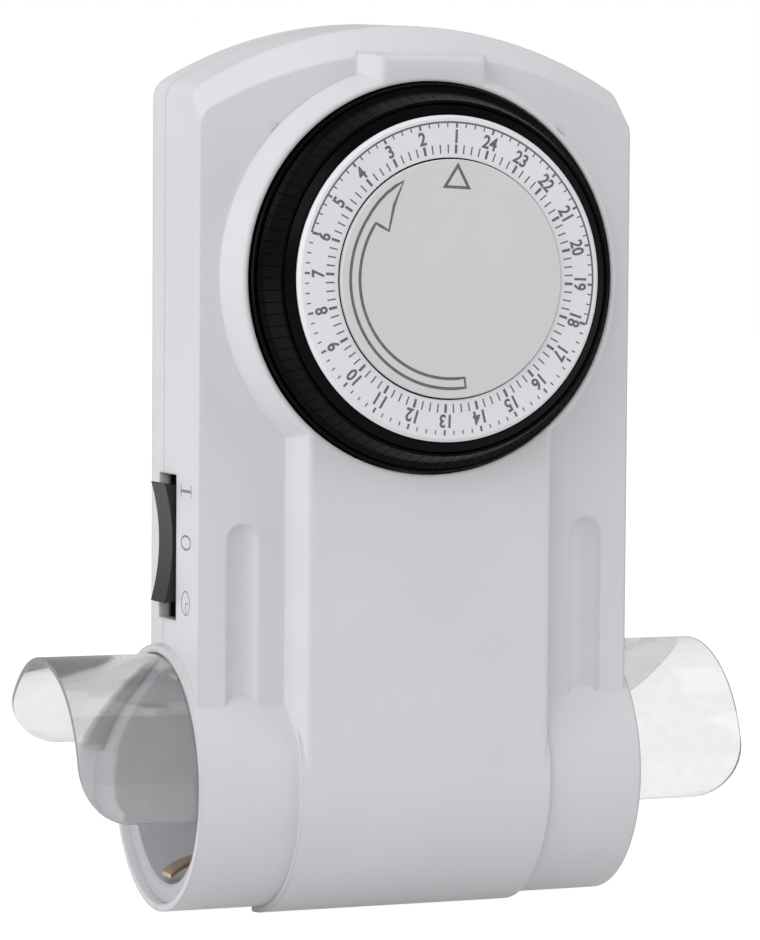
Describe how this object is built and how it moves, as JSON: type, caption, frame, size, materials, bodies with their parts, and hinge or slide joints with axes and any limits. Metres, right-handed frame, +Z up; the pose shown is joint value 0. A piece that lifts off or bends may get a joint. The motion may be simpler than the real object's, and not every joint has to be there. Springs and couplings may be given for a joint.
{
  "type": "plug in timer switch",
  "caption": "Plug in mechanical timer switch with a round day dial on an arched housing, a barrel foot with side sockets under clear sliding hoods, and an override rocker.",
  "frame": {"origin": "middle of the face of the mains plug on the back, between the roots of its two pins", "axes": "+Z up, -Y towards the front and the dial, +X to the right as seen from the front; the Y axis is the axis of the dial and of the plug"},
  "size_m": [0.133, 0.0977, 0.1675],
  "materials": {
    "housing_plastic": "fine satin moulding, slightly bluish white",
    "dial_black": "glossy black",
    "number_plastic": "printed, satin",
    "disc_plastic": "printed, satin",
    "clear_hood": "clear, polished",
    "rocker_black": "fine grain",
    "socket_grey": "satin",
    "plug_plastic": "satin",
    "brass": "bare, slightly dulled",
    "nickel": "nickel plated",
    "steel": "zinc plated",
    "gear_plastic": "natural nylon",
    "switch_case": "moulded"
  },
  "bodies": {
    "housing": {"front_shell": "housing_plastic", "rear_shell": "housing_plastic", "housing_screws": "steel", "plug_body": "plug_plastic", "plug_pins": "nickel", "plug_earth_strips": "nickel", "centre_disc": "disc_plastic", "dial_post": "steel", "idler_arbor": "steel", "mechanism_plate": "steel", "plate_screws": "steel", "motor": "steel", "lever_pin": "steel", "microswitch": "switch_case", "rocker_switch_body": "switch_case", "left_socket_insert": "socket_grey", "right_socket_insert": "socket_grey", "left_contact_sleeves": "brass", "right_contact_sleeves": "brass", "left_earth_clip": "brass", "right_earth_clip": "brass", "neutral_strip": "brass", "live_feed_strip": "brass", "switched_live_strip": "brass", "earth_strip": "brass", "rocker_links": "brass"},
    "dial": {"dial_body": "dial_black", "number_ring": "number_plastic", "dial_gear_ring": "gear_plastic"},
    "segment_set_01": {"segments_01": "dial_black"},
    "segment_set_02": {"segments_02": "dial_black"},
    "segment_set_03": {"segments_03": "dial_black"},
    "segment_set_04": {"segments_04": "dial_black"},
    "segment_set_05": {"segments_05": "dial_black"},
    "segment_set_06": {"segments_06": "dial_black"},
    "segment_set_07": {"segments_07": "dial_black"},
    "segment_set_08": {"segments_08": "dial_black"},
    "idler": {"idler_gear": "gear_plastic"},
    "motor_drive": {"motor_pinion": "gear_plastic"},
    "lever": {"trip_lever": "gear_plastic"},
    "plunger": {"microswitch_plunger": "gear_plastic"},
    "rocker_key": {"rocker": "rocker_black"},
    "left_cover": {"left_hood": "clear_hood"},
    "right_cover": {"right_hood": "clear_hood"}
  },
  "joints": [
    {"name": "dial_spin", "type": "hinge", "parent": "housing", "child": "dial", "pos_m": [0, 0, 0], "axis": [0, 1, 0], "continuous": true},
    {"name": "segment_press_01", "type": "slide", "parent": "dial", "child": "segment_set_01", "axis": [0, 1, 0], "range_m": [0, 0.0018]},
    {"name": "segment_press_02", "type": "slide", "parent": "dial", "child": "segment_set_02", "axis": [0, 1, 0], "range_m": [0, 0.0018]},
    {"name": "segment_press_03", "type": "slide", "parent": "dial", "child": "segment_set_03", "axis": [0, 1, 0], "range_m": [0, 0.0018]},
    {"name": "segment_press_04", "type": "slide", "parent": "dial", "child": "segment_set_04", "axis": [0, 1, 0], "range_m": [0, 0.0018]},
    {"name": "segment_press_05", "type": "slide", "parent": "dial", "child": "segment_set_05", "axis": [0, 1, 0], "range_m": [0, 0.0018]},
    {"name": "segment_press_06", "type": "slide", "parent": "dial", "child": "segment_set_06", "axis": [0, 1, 0], "range_m": [0, 0.0018]},
    {"name": "segment_press_07", "type": "slide", "parent": "dial", "child": "segment_set_07", "axis": [0, 1, 0], "range_m": [0, 0.0018]},
    {"name": "segment_press_08", "type": "slide", "parent": "dial", "child": "segment_set_08", "axis": [0, 1, 0], "range_m": [0, 0.0018]},
    {"name": "idler_spin", "type": "hinge", "parent": "housing", "child": "idler", "pos_m": [0.02192, 0, 0.01593], "axis": [0, 1, 0], "continuous": true},
    {"name": "motor_spin", "type": "hinge", "parent": "housing", "child": "motor_drive", "pos_m": [0.01091, 0, 0.01728], "axis": [0, 1, 0], "continuous": true},
    {"name": "lever_trip", "type": "hinge", "parent": "housing", "child": "lever", "pos_m": [-0.01, -0.0612, -0.046], "axis": [-1, 0, 0], "range_deg": [0, 7], "stiffness_Nm_per_rad": 0.01},
    {"name": "plunger_press", "type": "slide", "parent": "housing", "child": "plunger", "axis": [0, 1, 0], "range_m": [0, 0.0007]},
    {"name": "rocker_tilt", "type": "hinge", "parent": "housing", "child": "rocker_key", "pos_m": [-0.0375, -0.0457, -0.0492], "axis": [0, 1, 0], "range_deg": [-9, 9]},
    {"name": "left_hood_slide", "type": "slide", "parent": "housing", "child": "left_cover", "axis": [1, 0, 0], "range_m": [0, 0.022]},
    {"name": "right_hood_slide", "type": "slide", "parent": "housing", "child": "right_cover", "axis": [-1, 0, 0], "range_m": [0, 0.022]}
  ],
  "couplings": [
    {"joint": "idler_spin", "follows": "dial_spin", "ratio": -8},
    {"joint": "motor_spin", "follows": "dial_spin", "ratio": 21.333},
    {"joint": "plunger_press", "follows": "lever_trip", "m_per_rad": 0.005}
  ]
}
